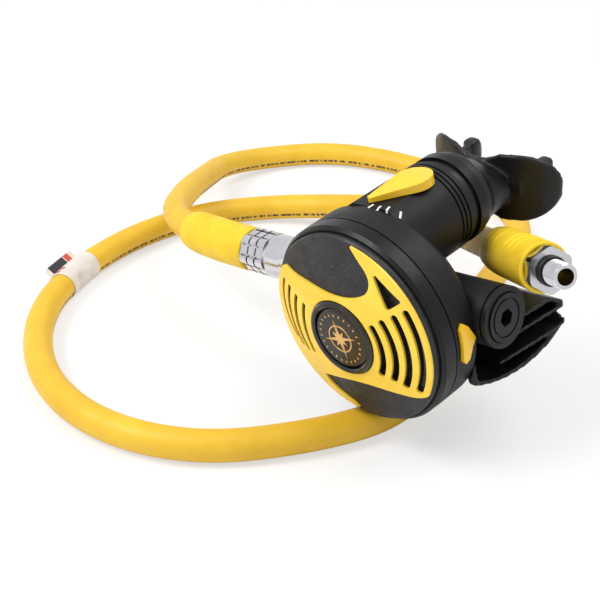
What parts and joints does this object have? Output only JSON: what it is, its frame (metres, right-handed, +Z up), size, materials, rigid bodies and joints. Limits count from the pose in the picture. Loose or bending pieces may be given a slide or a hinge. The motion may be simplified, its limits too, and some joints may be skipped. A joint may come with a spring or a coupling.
{
  "type": "scuba octopus second stage",
  "caption": "Round demand valve with purge button, side exhaust and mouthpiece on a yellow low pressure hose with a threaded end fitting.",
  "frame": {"origin": "on the floor straight below the centre of the case seam", "axes": "+X along the valve barrel towards the side plug, +Y from the front cover towards the mouthpiece, +Z up"},
  "size_m": [0.3129, 0.3093, 0.1067],
  "materials": {
    "case_plastic": "fine matt black moulding",
    "cover_soft_touch": "black soft touch coat with fine light speckle",
    "yellow_plastic": "satin yellow moulding",
    "badge_plastic": "glossy black",
    "steel_wire": "drawn spring wire",
    "silicone": "translucent silicone",
    "white_plastic": "white acetal",
    "stainless": "stamped stainless steel",
    "plated_brass": "bright chrome plate",
    "ferrule_steel": "crimped steel",
    "seal_rubber": "black nitrile",
    "plug_plastic": "black moulding",
    "yellow_rubber": "smooth matt yellow rubber",
    "mouthpiece_silicone": "black silicone",
    "clamp_plastic": "black nylon",
    "tee_rubber": "black moulded rubber",
    "tag_film": "white printed film"
  },
  "bodies": {
    "root": {"case_shell": "case_plastic", "cover_grille": "yellow_plastic", "cover_ring": "case_plastic", "diaphragm": "silicone", "diaphragm_ring": "white_plastic", "exhaust_tee": "tee_rubber", "exhaust_valve": "silicone", "ferrule_a": "ferrule_steel", "ferrule_b": "ferrule_steel", "front_cover": "cover_soft_touch", "hose": "yellow_rubber", "hose_end_fitting": "plated_brass", "hose_end_o_ring": "seal_rubber", "hose_protector_a": "yellow_rubber", "hose_protector_b": "yellow_rubber", "hose_stem": "plated_brass", "hose_tag": "tag_film", "inlet_adapter": "plated_brass", "lever_pin": "stainless", "mouthpiece": "mouthpiece_silicone", "mouthpiece_clamp": "clamp_plastic", "orifice": "plated_brass", "orifice_o_ring": "seal_rubber", "plug_o_ring": "seal_rubber", "poppet_spring": "steel_wire", "purge_bezel": "badge_plastic", "purge_spring": "steel_wire", "side_plug": "plug_plastic", "spring_stop": "white_plastic", "stem_o_ring": "seal_rubber", "swivel_nut": "plated_brass", "valve_barrel": "plated_brass", "venturi_o_ring": "seal_rubber"},
    "purge": {"purge_button": "badge_plastic"},
    "sensing_plate": {"diaphragm_plate": "white_plastic"},
    "demand_arm": {"demand_lever": "stainless"},
    "poppet_body": {"poppet": "white_plastic", "poppet_seat": "seal_rubber", "poppet_nut": "plated_brass"},
    "venturi": {"venturi_lever": "yellow_plastic", "venturi_vane": "white_plastic"},
    "cover_lock_body": {"cover_lock": "yellow_plastic"}
  },
  "joints": [
    {"name": "purge_press", "type": "slide", "parent": "root", "child": "purge", "axis": [-0.023, 0.9869, 0.16], "range_m": [0, 0.003], "stiffness_N_per_m": 500, "springref_m": -0.002, "deforming": ["purge_spring"]},
    {"name": "diaphragm_travel", "type": "slide", "parent": "root", "child": "sensing_plate", "axis": [-0.023, 0.9869, 0.16], "range_m": [0, 0.003]},
    {"name": "demand_lever_swing", "type": "hinge", "parent": "root", "child": "demand_arm", "pos_m": [0.00853, 0.01628, 0.05862], "axis": [0.1408, 0.1616, -0.9768], "range_deg": [0, 14.4]},
    {"name": "poppet_lift", "type": "slide", "parent": "root", "child": "poppet_body", "axis": [0.9898, 0, 0.1426], "range_m": [0, 0.00076], "deforming": ["poppet_spring"]},
    {"name": "venturi_turn", "type": "hinge", "parent": "root", "child": "venturi", "pos_m": [-0.00392, 0.0225, 0.1029], "axis": [-0.1408, -0.1616, 0.9768], "range_deg": [0, 50]},
    {"name": "cover_lock_press", "type": "slide", "parent": "root", "child": "cover_lock_body", "axis": [-0.9898, 0, -0.1426], "range_m": [0, 0.001], "stiffness_N_per_m": 800, "springref_m": -0.001}
  ],
  "couplings": [
    {"joint": "diaphragm_travel", "follows": "purge_press", "ratio": 1},
    {"joint": "demand_lever_swing", "follows": "purge_press", "rad_per_m": 83},
    {"joint": "poppet_lift", "follows": "purge_press", "ratio": 0.25}
  ]
}
